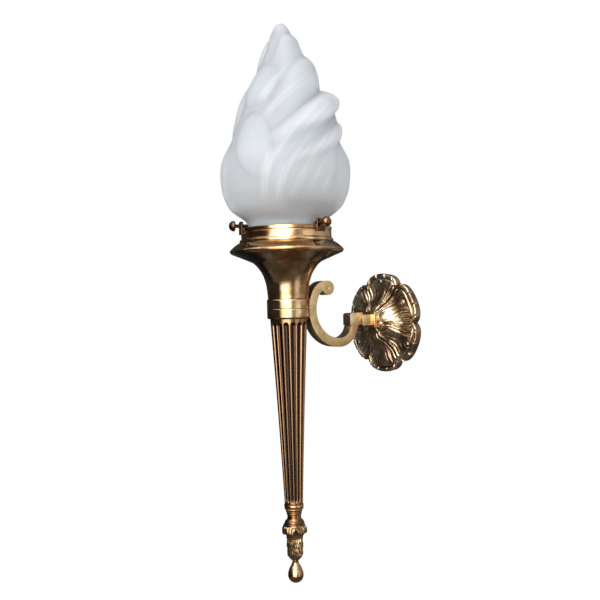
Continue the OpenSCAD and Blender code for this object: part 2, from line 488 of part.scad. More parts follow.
// ---------------------------------------------------------------- glass
// The flame is drawn 222.8 high on a body of radius 63, and stretched to size. Radius of the body by height over the lip:
drawn_h = 222.8;
drawn_r = 65.5;
body_line = [[18, 40], [19.5, 40.6], [21, 42], [24, 45], [26, 49], [30, 54], [34, 57], [42, 60], [50, 62], [58, 62.8],
  [66, 63], [78, 62], [87, 59.6], [95, 56.4], [103, 53], [111, 50], [120, 46.5], [128, 43.5], [136, 41], [144, 38],
  [152, 34.5], [161, 30.5], [169, 27], [177, 23], [185, 19.5], [194, 15.8], [202, 13.2], [210, 11], [216, 8.4],
  [220, 5.6], [222, 2.8], [222.8, 0.3]];
// Tongues and lobes: [angle, height of the thickest point, half-width in degrees, reach up, reach down, thickness,
// lean in degrees per mm, sharpness of the edge (smaller is sharper), 1 where the lower end runs out softly]
tongues = [
  [283, 156, 37, 21, 24, 5.6, 0.1, 0.85, 0], [290, 99, 23, 26, 44, 5.4, -0.3, 0.85, 0], [235, 70, 30, 31, 42, 3, 0, 0.9, 0],
  [225, 136, 30, 30, 36, 6, 0.2, 0.9, 0], [29, 175, 40, 12.5, 54, 12, 1.3, 0.55, 1], [41, 142, 28, 9.5, 56, 19, 1.7, 0.45, 1],
  [49, 113.5, 17, 8, 48, 9, 1.8, 0.5, 1], [45, 70, 26, 36, 44, 4.2, 0.1, 0.75, 0], [17, 201, 62, 9, 60, 5.5, 0.7, 0.55, 1],
  [119, 160, 38, 20, 70, 8, 0.9, 0.55, 1], [173, 148, 34, 18, 60, 7, 0.8, 0.6, 1], [151, 104, 30, 22, 60, 7.5, 0.7, 0.6, 1],
  [97, 112, 26, 13, 60, 9, 0.9, 0.5, 1], [191, 98, 24, 24, 36, 6, 0.2, 0.8, 0], [83, 66, 26, 34, 42, 4, 0, 0.85, 0],
  [125, 64, 22, 28, 36, 3.4, 0, 0.9, 0], [165, 62, 22, 28, 36, 3.4, 0, 0.9, 0], [203, 62, 20, 28, 38, 3.4, 0, 0.9, 0],
  [143, 197, 50, 10, 50, 5, 0.7, 0.55, 1], [213, 192, 40, 14, 40, 5, 0.6, 0.7, 1], [81, 148, 30, 10, 60, 12, 0.9, 0.5, 1]];
function turn_to(a) = let(m = (a + 540) % 360) m < 0 ? m + 180 : m - 180;
function tongue_add(q, a, z) = let(
    v = z > q[1] ? (z - q[1]) / q[3] : (z - q[1]) / q[4],
    u = turn_to(a - q[0] - q[6] * (z - q[1])) / (q[2] * (1 + 0.35 * min(1, max(0, -v)) * q[8])),
    d = 1 - u * u - v * v)
  d <= 0 ? 0 : q[5] * pow(d, q[7] + q[8] * 1.3 * ease(0.1, 0.8, -v));
function flame_r(a, z) = let(add = [for (q = tongues) tongue_add(q, a, z)]) lookup(z, body_line) + norm(add);
sides = 52;
out_rings = 44;
in_rings = 22;
neck_top_z = 19;                         // drawn height of the straight neck
in_top = 213;                            // drawn height of the top of the hollow
function out_z(i) = neck_top_z + (drawn_h - neck_top_z) * (1 - pow(1 - i / out_rings, 1.15));
function in_z(i) = neck_top_z + (in_top - neck_top_z) * i / in_rings;
// The inner face follows the outer one, a wall's thickness inside it, and is softer.
function in_r(a, z) = max(0.5, (0.5 * flame_r(a, z + 3) + 0.5 * lookup(z + 3, body_line)) * glass_r / drawn_r
  - glass_t - 0.4 - 0.6 * ease(170, 210, z));
function ring_at(r, z) = [for (j = [0:sides - 1]) let(a = j * 360 / sides) [r * cos(a), r * sin(a), z]];
// One closed skin: the tip, the outer face down to the lip, then the inner face up to its own top.
module flame_skin() {
  up = glass_h / drawn_h;
  out = glass_r / drawn_r;
  outer = [for (i = [out_rings - 1:-1:1]) for (j = [0:sides - 1]) let(a = j * 360 / sides, z = out_z(i),
    r = i == 1 ? neck_r + 0.8 : flame_r(a, z) * out) [r * cos(a), r * sin(a), z * up]];
  bore = neck_r - glass_t;
  lip = concat(ring_at(neck_r, 18.4 * up), ring_at(neck_r, 0.8), ring_at(neck_r - 0.8, 0),
    ring_at(bore + 0.6, 0), ring_at(bore - 0.3, 0.6), ring_at(bore - 0.3, 18 * up));
  inner = [for (i = [1:in_rings]) for (j = [0:sides - 1]) let(a = j * 360 / sides, z = in_z(i), r = in_r(a, z)) [r * cos(a), r * sin(a), z * up]];
  pts = concat([[0, 0, glass_h]], outer, lip, inner, [[0, 0, (in_top + 0.9) * up]]);
  rows = out_rings - 1 + 6 + in_rings;
  last = len(pts) - 1;
  polyhedron(pts, concat(
    [for (j = [0:sides - 1]) [0, 1 + j, 1 + (j + 1) % sides]],
    [for (i = [0:rows - 2]) for (j = [0:sides - 1]) let(k = (j + 1) % sides, p = 1 + i * sides) [p + j, p + sides + j, p + sides + k]],
    [for (i = [0:rows - 2]) for (j = [0:sides - 1]) let(k = (j + 1) % sides, p = 1 + i * sides) [p + j, p + sides + k, p + k]],
    [for (j = [0:sides - 1]) let(p = 1 + (rows - 1) * sides) [p + j, last, p + (j + 1) % sides]]), convexity = 8);
}
module glass_shade() color([0.86, 0.88, 0.89, 0.6]) at_torch() translate([0, 0, lip_z]) difference() {
  flame_skin();
  // ground bore of the neck
  translate([0, 0, -1]) cylinder(r = neck_r - glass_t, h = 18.5, $fn = 128);
}

// ---------------------------------------------------------------- lamp holder and bulb
module holder_shell() color([0.9, 0.9, 0.88]) at_torch() translate([0, 0, holder_z]) difference() {
  rotate_extrude($fn = 96) polygon([[0, 0], [holder_r - 6, 0], [holder_r - 2, 3], [holder_r, 7], [holder_r, holder_h - 12],
    [holder_r + 1.5, holder_h - 11], [holder_r + 1.5, holder_h - 8], [holder_r - 1, holder_h - 7], [holder_r - 1.5, holder_h], [0, holder_h]]);
  translate([0, 0, -1]) cylinder(r = tube_r + gap / 2, h = 8);
  translate([0, 0, 6]) cylinder(r = holder_r - 3, h = 14.1);
  translate([0, 0, 20]) cylinder(r = cap_r + 1.1, h = 60);
}
module holder_base() color([0.95, 0.94, 0.9]) at_torch() translate([0, 0, holder_z + 9]) difference() {
  cylinder(r = holder_r - 3 - gap, h = 11);
  for (s = [-1, 1]) translate([s * 8, 0, -1]) cylinder(r = 2, h = 20, $fn = 32);
}
module centre_contact() color([0.8, 0.65, 0.35]) at_torch() translate([-2, -6, holder_z + 20]) {
  cube([4, 10, 0.6]);
  translate([0, 4, 0]) cube([4, 4, tip_z - holder_z - 20 - gap]);
}
module side_contact() color([0.8, 0.65, 0.35]) at_torch() translate([0, 0, holder_z + 20.2]) difference() {
  cylinder(r = cap_r + 1, h = cap_l);
  translate([0, 0, -1]) cylinder(r = cap_r + 0.4, h = holder_h);
}
module bulb_glass() color([0.95, 0.95, 0.93, 0.7]) at_torch() difference() {
  union() {
    translate([0, 0, bulb_c]) sphere(r = bulb_r, $fn = 64);
    translate([0, 0, cap_z + cap_l]) rotate_extrude($fn = 64) polygon([[0, 0], [cap_r - 0.6, 0], [cap_r, 4], [cap_r + 2.5, 12], [bulb_r - 6.5, bulb_c - cap_z - cap_l - bulb_r * 0.42], [bulb_r - 1, bulb_c - cap_z - cap_l - 3], [0, bulb_c - cap_z - cap_l]]);
  }
  translate([0, 0, bulb_c]) sphere(r = bulb_r - 1, $fn = 64);
  translate([0, 0, cap_z + cap_l]) rotate_extrude($fn = 64) polygon([[0, 1], [cap_r - 1.7, 1], [cap_r - 1.1, 4], [cap_r + 1.4, 12.2], [bulb_r - 7.6, bulb_c - cap_z - cap_l - bulb_r * 0.42 + 0.4], [bulb_r - 3, bulb_c - cap_z - cap_l - 3], [0, bulb_c - cap_z - cap_l]]);
}
module bulb_cap() color([0.8, 0.8, 0.8]) at_torch() translate([0, 0, cap_z]) difference() {
  cylinder(r = cap_r, h = cap_l - gap);
  translate([0, 0, 1]) cylinder(r = cap_r - 0.6, h = cap_l);
}
module bulb_tip() color([0.2, 0.2, 0.22]) at_torch() translate([0, 0, tip_z])
  rotate_extrude() polygon([[0, 0], [3.6, 0], [4.4, 0.8], [cap_r - 1.7, 2.4 - gap / 2], [0, 2.4 - gap / 2]]);

wall_plate();
earth_screw();
terminal_block();
rosette();
rosette_screws();
bar_flange();
cross_bar();
bar_nipple();
bar_washer();
bar_nut();
scroll_arm();
arm_nipple();
arm_nut();
ferrule();
fluted_shaft();
shaft_cup();
lower_neck();
leaf_collar();
leaf_bud();
ball_finial();
finial_stud();
core_tube();
core_nut();
bell();
rim_cover();
gallery_ring();
thumbscrew_1();
thumbscrew_2();
thumbscrew_3();
glass_shade();
holder_shell();
holder_base();
centre_contact();
side_contact();
bulb_glass();
bulb_cap();
bulb_tip();
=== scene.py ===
"""Torch wall sconce: a frosted flame shade on a fluted brass torch, held off the wall by a C-scroll arm.
Metres, in the part's own frame: the wall is the plane y = 0, the sconce stands out towards -y, z is up."""
import math
import bmesh
import bpy
import numpy as np
from mathutils import Matrix, Vector


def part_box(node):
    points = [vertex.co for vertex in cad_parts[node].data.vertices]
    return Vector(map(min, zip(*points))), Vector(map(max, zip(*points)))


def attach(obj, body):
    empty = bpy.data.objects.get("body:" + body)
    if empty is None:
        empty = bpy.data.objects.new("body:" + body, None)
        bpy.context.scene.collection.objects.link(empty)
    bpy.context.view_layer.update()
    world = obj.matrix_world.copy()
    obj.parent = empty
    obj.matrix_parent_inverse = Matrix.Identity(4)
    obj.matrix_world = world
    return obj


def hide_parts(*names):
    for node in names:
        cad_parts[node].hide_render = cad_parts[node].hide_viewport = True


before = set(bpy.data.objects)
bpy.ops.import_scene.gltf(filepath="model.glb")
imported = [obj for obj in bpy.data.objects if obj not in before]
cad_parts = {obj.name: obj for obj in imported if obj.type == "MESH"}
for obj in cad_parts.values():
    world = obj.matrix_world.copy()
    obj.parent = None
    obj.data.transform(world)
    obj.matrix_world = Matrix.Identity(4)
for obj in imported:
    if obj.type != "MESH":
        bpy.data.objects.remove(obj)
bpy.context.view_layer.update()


# ------------------------------------------------------------------------------------------ wall plate
# A pressed steel plate, zinc plated, that is screwed to the wall through two slots. It carries the earth
# screw and a three-way terminal block, and the rosette hides all of it.
def start_finish(name):
    finish = bpy.data.materials.new(name)
    finish.use_nodes = True
    return finish, finish.node_tree.nodes["Principled BSDF"]


def step(finish, kind, sockets=(), **settings):
    made = finish.node_tree.nodes.new("ShaderNode" + kind)
    for key, value in settings.items():
        setattr(made, key, value)
    for key, value in dict(sockets).items():
        if isinstance(value, bpy.types.NodeSocket):
            finish.node_tree.links.new(value, made.inputs[key])
        else:
            made.inputs[key].default_value = value
    return made


def feed(finish, socket, source):
    finish.node_tree.links.new(source, socket)


def grading(finish, source, stops):
    ramp = step(finish, "ValToRGB", {"Fac": source})
    while len(ramp.color_ramp.elements) < len(stops):
        ramp.color_ramp.elements.new(0.5)
    for element, (place, shade) in zip(ramp.color_ramp.elements, stops):
        element.position = place
        element.color = (*shade, 1) if len(shade) == 3 else (shade[0],) * 3 + (1,)
    return ramp.outputs["Color"]


def wear(node, finish):
    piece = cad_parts[node]
    piece.data.materials.clear()
    piece.data.materials.append(finish)


def zinc_finish():
    zinc, shader = start_finish("zinc plated steel")
    place = step(zinc, "TexCoord").outputs["Object"]
    spangle = step(zinc, "TexVoronoi", {"Vector": place, "Scale": 260})
    grey = grading(zinc, spangle.outputs["Color"], [(0.2, (0.5, 0.51, 0.53)), (0.9, (0.66, 0.67, 0.69))])
    feed(zinc, shader.inputs["Base Color"], grey)
    cloud = step(zinc, "TexNoise", {"Vector": place, "Scale": 90, "Detail": 4})
    dull = step(zinc, "MapRange", {"Value": cloud.outputs["Fac"], "To Min": 0.28, "To Max": 0.48})
    feed(zinc, shader.inputs["Roughness"], dull.outputs["Result"])
    shader.inputs["Metallic"].default_value = 1
    return zinc


zinc = zinc_finish()
# the plate, and the washer and stud that are of the same steel
for node in ("wall_plate", "bar_washer", "finial_stud"):
    wear(node, zinc)


def plain_finish(name, shade, shade_dark, rough, metal, speckle):
    made, shader = start_finish(name)
    place = step(made, "TexCoord").outputs["Object"]
    cloud = step(made, "TexNoise", {"Vector": place, "Scale": speckle, "Detail": 5, "Roughness": 0.6})
    tone = grading(made, cloud.outputs["Fac"], [(0.3, shade_dark), (0.7, shade)])
    feed(made, shader.inputs["Base Color"], tone)
    dull = step(made, "MapRange",
                {"Value": cloud.outputs["Fac"], "To Min": rough * 0.8, "To Max": rough * 1.25})
    feed(made, shader.inputs["Roughness"], dull.outputs["Result"])
    shader.inputs["Metallic"].default_value = metal
    return made


bare_brass = plain_finish("bare brass", (0.72, 0.55, 0.26), (0.6, 0.43, 0.18), 0.3, 1, 120)
# the earth screw, the threaded tubes with their nuts, and the contacts in the lamp holder
for node in ("earth_screw", "bar_nipple", "bar_nut", "arm_nipple", "arm_nut", "core_tube", "core_nut",
             "centre_contact", "side_contact"):
    wear(node, bare_brass)
glazed = plain_finish("glazed porcelain", (0.86, 0.86, 0.83), (0.8, 0.8, 0.76), 0.22, 0, 60)
# the terminal block and the lamp holder
for node in ("terminal_block", "holder_shell", "holder_base"):
    wear(node, glazed)


# --------------------------------------------------------------------------------------------- rosette
# A sand-cast brass rosette of six petals with rolled, nicked rims and twin ribs down each valley. Dark
# patina lies in its hollows and the high places are rubbed bright. Three socket screws hold it to its
# plate.
mm = 0.001
petal_tip = 55.4
half_petal = math.radians(30)
notch_depth = 6.2
notch_curve = 4.5
roll_r = 2.4
rim_wide = 4.8
face_low = 6.3
rosette_top = 23
screw_circle = 46.2
rosette_turn = Matrix.Rotation(math.radians(90), 4, "X")


def ease(low, high, value):
    part = np.clip((value - low) / (high - low), 0, 1)
    return part * part * (3 - 2 * part)


def hump(off, half):
    return np.clip(1 - (off / half) ** 2, 0, 1)


def flare(reach):
    return face_low + (rosette_top - face_low) * (1 - ease(9, petal_tip * 0.66, reach))


def inset(lean, q):
    part = abs(lean) / half_petal
    reach = petal_tip - notch_depth * part ** notch_curve
    slope = notch_depth * notch_curve * part ** (notch_curve - 1) / half_petal
    return reach - q * np.hypot(1, slope / reach)


def swirl(x, y, seed, scale):
    chance = np.random.default_rng(seed)
    total = 0
    for turn in range(9):
        way = chance.uniform(0, 2 * math.pi)
        size = scale * chance.uniform(0.6, 1.7)
        total = total + np.sin((x * math.cos(way) + y * math.sin(way)) * size + chance.uniform(0, 6.3))
    return total / 5


def ring_mesh(name, rings, start=None, end=None):
    count, around = rings.shape[:2]
    here = np.arange(count - 1 if start else count)[:, None] * around + np.arange(around)[None, :]
    beside = here - np.arange(around) + (np.arange(around) + 1) % around
    total = count * around
    faces = np.stack([here, beside, (beside + around) % total, (here + around) % total], axis=2)
    faces = faces.reshape(-1, 4).tolist()
    points = rings.reshape(-1, 3).tolist()
    if start:
        points += [start, end]
        last = total - around
        for j in range(around):
            faces.append((total, (j + 1) % around, j))
            faces.append((total + 1, last + j, last + (j + 1) % around))
    mesh = bpy.data.meshes.new(name)
    mesh.from_pydata(points, [], faces)
    sheet = bmesh.new()
    sheet.from_mesh(mesh)
    bmesh.ops.recalc_face_normals(sheet, faces=sheet.faces)
    sheet.to_mesh(mesh)
    sheet.free()
    mesh.shade_smooth()
    return mesh


def blurred(field, turns):
    smooth = np.array(field)
    for turn in range(turns):
        smooth = (smooth + np.roll(smooth, 1, 1) + np.roll(smooth, -1, 1)) / 3
        smooth[1:-1] = (smooth[:-2] + smooth[1:-1] + smooth[2:]) / 3
    return smooth


def worn_field(mesh, height, blur, reach, poles, plain=0):
    field = mesh.attributes.new("worn", "FLOAT", "POINT")
    high = np.clip(0.5 + (height - blurred(height, blur)) / reach, 0, 1)
    high[len(high) - plain:] = 0.45
    field.data.foreach_set("value", [*high.reshape(-1), *poles])


def put(name, mesh, finish, slot, body, *nodes):
    piece = bpy.data.objects.new(name, mesh)
    bpy.context.scene.collection.objects.link(piece)
    mesh.materials.clear()
    mesh.materials.append(finish)
    for node in nodes:
        wear(node, finish)
    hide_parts(*nodes)
    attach(piece, body)


def rosette_mesh():
    around = np.radians(np.arange(720) / 2)[None, :]
    lean = np.radians((np.arange(720) / 2) % 60 - 30)[None, :]
    border = [0, 0.15, 0.4, 0.8, 1.3, 1.9, 2.4, 2.9, 3.5, 4, 4.4, 4.65, 4.8, 5, 5.4, 6, 6.8, 7.6, 8.5, 9.3,
              10]
    part = np.linspace(1, 0.02, 54)[1:, None]
    edge = inset(lean, border[-1])
    inward = part * (edge * part ** 2 + 34 * (1 - part ** 2))
    reach = np.vstack([inset(lean, np.array(border)[:, None]), inward])
    q = np.vstack([np.array(border)[:, None] + 0 * lean, border[-1] + edge - reach[len(border):]])
    x = reach * np.cos(around)
    y = reach * np.sin(around)
    puff = 1 - 1.3 * (abs(lean) / half_petal) ** 3
    face = flare(reach) + 3 * puff * ease(9, 36.6, reach) * ease(4.6, 6.6, q)
    beside = reach * np.sin(half_petal - abs(lean))
    away = ease(11, 18, reach) * ease(3.8, 8, q)
    face += away * (2 * hump(beside - 2.3, 1.3) - 1.7 * hump(beside, 1.1))
    side = np.sign(lean)
    for place, high, half in ((8.2, 1, 1.5), (13.5, 0.5, 2.2)):
        line = beside - place * ease(8, 40, reach) - 1.2 * side * ease(20, 50, reach)
        fold = high * ease(13, 22, reach) * ease(5, 14, q)
        face += fold * (hump(line, half) - 0.6 * hump(line + 2, 1.2))
    face += 0.8 * swirl(x, y, 7, 0.15) * ease(10, 20, reach) * ease(rim_wide, 8, q)
    for px, py, wide, high in ((12.4, -3.4, 5.2, 2.2), (34.4, 22.8, 4, 1.4), (-12.4, -3.4, 5.2, 2.2)):
        off = np.hypot(x - px, y - py)
        face += high * hump(off, wide) - 0.9 * hump(off - wide - 0.6, 1.1)
    for angle in (90, 210, 330):
        way = math.radians(angle)
        off = np.hypot(x - screw_circle * math.cos(way), y - screw_circle * math.sin(way))
        face = 8.2 + (face - 8.2) * ease(3.1, 3.9, off)
    turn = reach * abs(lean)
    roll = 6.6 + np.sqrt(np.clip(roll_r ** 2 - (q - roll_r) ** 2, 0, None))
    nick = sum(np.clip(1 - abs(turn - place) / 1.2, 0, 1) for place in (7, 19.5))
    roll -= nick * 2.2 * ease(0, 1.5, rim_wide - q) + 0.5 * hump(turn - 13.2, 5) * ease(0, 1, rim_wide - q)
    reach = reach - 0.9 * nick * ease(0, 3, 4 - q)
    height = np.where(q < rim_wide, roll, np.minimum(face, rosette_top))
    low = np.array([[3.5, 3.3], [3.5, 0], [0.8, 0], [0.65, 2.5], [0.45, 5.4]])[::-1]
    wall = inset(lean, low[:, :1])
    back = np.array([[42, 3.7], [37, 3.7], [31, 5], [26, 8.3], [22, 11.7], [18, 15.2], [15, 17.9],
                     [12.4, 18.3], [12.4, 20]])
    radii = np.vstack([reach[::-1], wall, back[:, :1] + 0 * lean])
    tops = np.vstack([height[::-1], low[:, 1:] + 0 * lean, back[:, 1:] + 0 * lean])
    rings = np.stack([radii * np.cos(around), radii * np.sin(around), tops], axis=2)
    mesh = ring_mesh("rosette", rings, (0, 0, rosette_top), (0, 0, 20))
    tops[len(height):] = height[0]
    worn_field(mesh, tops, 9, 2.2, (0.6, 0.2), len(tops) - len(height))
    mesh.transform(Matrix.Scale(mm, 4) @ rosette_turn)
    return mesh


def aged_brass(name, deep, middle, worn, rough, grime=30, field=0.0, lines=0.0, along=(0, 0, 1),
               relief=0.12, metal=1):
    brass, shader = start_finish(name)
    place = step(brass, "TexCoord").outputs["Object"]
    cloud = step(brass, "TexNoise", {"Vector": place, "Scale": grime, "Detail": 6, "Roughness": 0.62})
    spread = step(brass, "MapRange", {"Value": cloud.outputs["Fac"], "From Min": 0.3, "From Max": 0.7})
    tone = spread.outputs["Result"]
    if field:
        high = step(brass, "Attribute", attribute_name="worn", attribute_type="GEOMETRY")
        tone = step(brass, "Mix", {0: field, 2: tone, 3: high.outputs["Fac"]}).outputs[0]
    shade = grading(brass, tone, [(0.12, deep), (0.5, middle), (0.85, worn)])
    feed(brass, shader.inputs["Base Color"], shade)
    shader.inputs["Metallic"].default_value = metal
    shader.inputs["Coat Weight"].default_value = 0.3
    shader.inputs["Coat Roughness"].default_value = 0.12
    dull = step(brass, "MapRange", {"Value": tone, "To Min": rough * 1.4, "To Max": rough * 0.8})
    feed(brass, shader.inputs["Roughness"], dull.outputs["Result"])
    grain = step(brass, "TexNoise", {"Vector": place, "Scale": 700, "Detail": 3})
    height = grain.outputs["Fac"]
    if lines:
        thin = step(brass, "VectorMath", {0: place, 1: tuple(600 * a for a in along)}, operation="MULTIPLY")
        cuts = step(brass, "TexNoise",
                    {"Vector": thin.outputs["Vector"], "Scale": 6, "Detail": 4, "Roughness": 0.7})
        height = step(brass, "Mix", {0: lines, 2: height, 3: cuts.outputs["Fac"]}).outputs[0]
    bump = step(brass, "Bump", {"Height": height, "Strength": relief, "Distance": 0.0004})
    feed(brass, shader.inputs["Normal"], bump.outputs["Normal"])
    return brass


cast_brass = aged_brass("cast brass, dark patina", (0.03, 0.015, 0.007), (0.26, 0.165, 0.085),
                        (0.82, 0.73, 0.55), 0.24, 48, 0.36, relief=0.04, metal=0.85)
put("rosette_casting", rosette_mesh(), cast_brass, "cast_brass", "fixture", "rosette")
dark_steel = plain_finish("blackened steel", (0.2, 0.205, 0.21), (0.1, 0.105, 0.11), 0.4, 1, 200)
wear("rosette_screws", dark_steel)


# ------------------------------------------------------------------------------------- bar and scroll
# A square flange, a square bar and a flat C-scroll of brushed brass, sawn and filed from bar stock, with
# its edges just broken. A hollow nipple holds flange and bar to the rosette, and the bar fits tight in
# the scroll's block.
def broken_edges(node, wide):
    whole = bmesh.new()
    whole.from_mesh(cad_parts[node].data)
    bmesh.ops.remove_doubles(whole, verts=whole.verts, dist=1e-6)
    bmesh.ops.dissolve_limit(whole, angle_limit=math.radians(0.6), verts=whole.verts, edges=whole.edges)
    whole.normal_update()
    sharp = [e for e in whole.edges if len(e.link_faces) == 2 and e.calc_face_angle() > math.radians(40)]
    bmesh.ops.bevel(whole, geom=sharp, offset=wide, offset_type="OFFSET", segments=3, profile=0.5,
                    affect="EDGES", clamp_overlap=True)
    whole.normal_update()
    bmesh.ops.triangulate(whole, faces=[f for f in whole.faces if len(f.verts) > 4])
    for face in whole.faces:
        face.smooth = True
    for edge in whole.edges:
        edge.smooth = len(edge.link_faces) == 2 and edge.calc_face_angle() < math.radians(32)
    mesh = bpy.data.meshes.new(node)
    whole.to_mesh(mesh)
    whole.free()
    return mesh


rubbed_brass = aged_brass("brushed brass", (0.46, 0.29, 0.13), (0.6, 0.41, 0.2), (0.72, 0.55, 0.32),
                          0.28, 60, 0, 0.8, (0.05, 1, 1))
for name, node, wide in (("flange_plate", "bar_flange", 0.0006), ("square_bar", "cross_bar", 0.0005),
                         ("c_scroll", "scroll_arm", 0.0005)):
    put(name, broken_edges(node, wide), rubbed_brass, "rubbed_brass", "fixture", node)


# ---------------------------------------------------------------------------------------------- torch
# The torch's stem: a turned ferrule, a cast fluted shaft that tapers to its foot, and the small turnings
# and leaf castings under it, all pulled together on one threaded tube.
spun_brass = aged_brass("turned brass, aged", (0.2, 0.095, 0.036), (0.38, 0.205, 0.085), (0.64, 0.44, 0.23),
                        0.14, 38, 0, 0.85)


def eased(corners, wide=0.14):
    corners = np.array(corners, float)
    line = []
    for k, corner in enumerate(corners):
        for other in (corners[k - 1], corners[(k + 1) % len(corners)]):
            away = np.linalg.norm(other - corner)
            line.append(corner + (other - corner) * min(0.35, wide / away))
        middle = corners[(k + 1) % len(corners)] - corner
        if np.linalg.norm(middle) > 1.5:
            line.append(corner + 0.1 * middle)
            line.append(corner + 0.5 * middle)
            line.append(corner + 0.9 * middle)
    return np.array(line)


def spun(node, corners, columns=192):
    turn = np.linspace(0, 2 * math.pi, columns, endpoint=False)[None, :]
    line = eased(corners)
    radii = line[:, :1] + 0 * turn
    rings = np.stack([radii * np.cos(turn), radii * np.sin(turn), line[:, 1:] + 0 * turn], axis=2)
    mesh = ring_mesh(node, rings)
    low, high = (Vector(corner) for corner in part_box("fluted_shaft"))
    foot = ((low.x + high.x) / 2, (low.y + high.y) / 2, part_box(node)[0][2])
    mesh.transform(Matrix.Translation(foot) @ Matrix.Scale(mm, 4))
    return mesh


ferrule_line = [(12, 0), (20.4, 0), (21.2, 0.2), (21.7, 0.7), (22, 1.6), (22, 9.9), (21.75, 10.15),
                (21.75, 10.35), (22, 10.6), (22, 19), (21.7, 19.8), (21.2, 20.2), (20.4, 20.4), (12, 20.4),
                (12, 18), (20, 18), (20, 2.4), (12, 2.4)]
put("ferrule_turning", spun("ferrule", ferrule_line), spun_brass, "spun_brass", "fixture", "ferrule")
stem_low, stem_high = (Vector(corner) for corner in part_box("fluted_shaft"))
stem = (stem_low + stem_high) / 2
flutes = 16
shaft_l = 190.5
shaft_foot_r = 9.4
shaft_top_r = 19.05
flute_share = 0.8
flute_depth = 0.108
tube_hole = 5.1


def shaft_mesh():
    rows = np.concatenate([np.linspace(0, 8, 22), np.linspace(10, 180, 60), np.linspace(182, shaft_l, 24)])
    rows = rows[:, None]
    turn = np.arange(flutes * 24)[None, :] * 2 * math.pi / (flutes * 24)
    t = rows / shaft_l
    whole = shaft_foot_r + (shaft_top_r - shaft_foot_r) * (t - 0.2 * t * (1 - t))
    half = math.pi / flutes
    off = ((turn + half) % (2 * math.pi / flutes) - half) / (half * flute_share)
    ends = np.where(rows < 6, (6 - rows) / 3.5, np.where(rows > 183, (rows - 183) / 4, 0))
    cut = np.sqrt(np.clip(1 - off ** 2 - ends ** 2, 0, 1))
    radii = whole - cut * whole * flute_depth
    line = ease(0.86, 1, abs(off)) * ease(1.14, 1, abs(off))
    outer = np.stack([radii * np.cos(turn), radii * np.sin(turn), rows + 0 * turn], axis=2)
    twice = turn + 0 * rows[:2]
    ends = np.array([[shaft_l], [0]]) + 0 * turn
    bore = np.stack([tube_hole * np.cos(twice), tube_hole * np.sin(twice), ends], axis=2)
    mesh = ring_mesh("fluted shaft", np.concatenate([outer, bore]))
    field = mesh.attributes.new("worn", "FLOAT", "POINT")
    high = np.vstack([0.66 - 0.62 * cut + 0.3 * line, np.zeros((2, flutes * 24))])
    field.data.foreach_set("value", np.clip(high, 0, 1).reshape(-1).tolist())
    mesh.transform(Matrix.Translation((stem.x, stem.y, stem_low.z)) @ Matrix.Scale(mm, 4))
    return mesh


shaft_brass = aged_brass("cast brass, flutes", (0.012, 0.004, 0.002), (0.13, 0.056, 0.021),
                         (0.44, 0.25, 0.11), 0.22, 50, 0.94)
put("shaft_flutes", shaft_mesh(), shaft_brass, "cast_brass", "fixture", "fluted_shaft")


# Under the shaft: a turned cup, a turned neck with thin rings, a cast collar of six folded leaves, a leafy
# bud and a ball with a conical top, strung on one stud.
stud_hole = 2.1


def smooth_line(points, at):
    x, y = np.array(points, float).T
    gap = np.diff(x)
    rise = np.diff(y) / gap
    slope = np.zeros(len(x))
    same = rise[:-1] * rise[1:] > 0
    weight = gap[:-1] + 2 * gap[1:], 2 * gap[:-1] + gap[1:]
    before = weight[0] / np.where(same, rise[:-1], 1)
    after = weight[1] / np.where(same, rise[1:], 1)
    mean = (weight[0] + weight[1]) / (before + after)
    slope[1:-1] = np.where(same, mean, 0)
    slope[0] = rise[0]
    slope[-1] = rise[-1]
    at = np.clip(at, x[0], x[-1])
    k = np.clip(np.searchsorted(x, at, side="right") - 1, 0, len(gap) - 1)
    t = (at - x[k]) / gap[k]
    blend = t * t * (3 - 2 * t)
    bend = gap[k] * t * (1 - t) * ((1 - t) * slope[k] - t * slope[k + 1])
    return y[k] * (1 - blend) + y[k + 1] * blend + bend


def strung(node, radii, fall, hole):
    low, high = (Vector(corner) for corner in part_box(node))
    turn = np.linspace(0, 2 * math.pi, radii.shape[1], endpoint=False)[None, :]
    ends = hole + 0 * turn
    radii = np.vstack([radii, ends, ends])
    falls = np.vstack([fall, fall[-1:], fall[:1]]) + 0 * turn
    mesh = ring_mesh(node, np.stack([radii * np.cos(turn), radii * np.sin(turn), -falls], axis=2))
    worn_field(mesh, radii, 4, 1.1, ())
    head = ((low.x + high.x) / 2, (low.y + high.y) / 2, high.z)
    mesh.transform(Matrix.Translation(head) @ Matrix.Scale(mm, 4))
    return mesh


def turned_piece(node, line, hole):
    fall = np.linspace(line[0][0], line[-1][0], 110)[:, None]
    return strung(node, smooth_line(line, fall) + np.zeros((1, 128)), fall, hole)


cup_line = [(0.02, 9.3), (0.3, 9.8), (1.2, 10.05), (2.6, 10), (3.6, 9.6), (4.2, 9.5), (4.7, 9.9),
            (5.2, 9.2), (6.6, 8.3), (7.2, 8.1), (7.6, 8.6), (8, 8), (9, 7.4), (9.6, 7.9), (10.2, 7.8),
            (10.5, 7.3), (10.98, 7.15)]
neck_line = [(0.02, 7.15), (3.4, 7.15), (4.6, 7.6), (5.8, 8.7), (6.8, 9.7), (7.3, 9.75), (7.6, 9.4),
             (7.9, 9.9), (8.3, 10.4), (8.7, 10), (8.9, 10), (9.3, 10.55), (9.8, 10.55), (10.2, 10.1),
             (10.98, 10.3)]
ball_line = [(0.02, 3.3), (1, 3.5), (3, 4.3), (5, 5.6), (6.2, 6.2), (6.5, 6.05), (6.8, 6.3), (8, 6.9),
             (9.8, 7.5), (11.5, 7.9), (13.35, 8.05), (15.5, 7.75), (17.5, 6.9), (19.3, 5.45), (20.5, 3.7),
             (21.1, 2.1), (21.29, 0.8), (21.3, 0.3)]
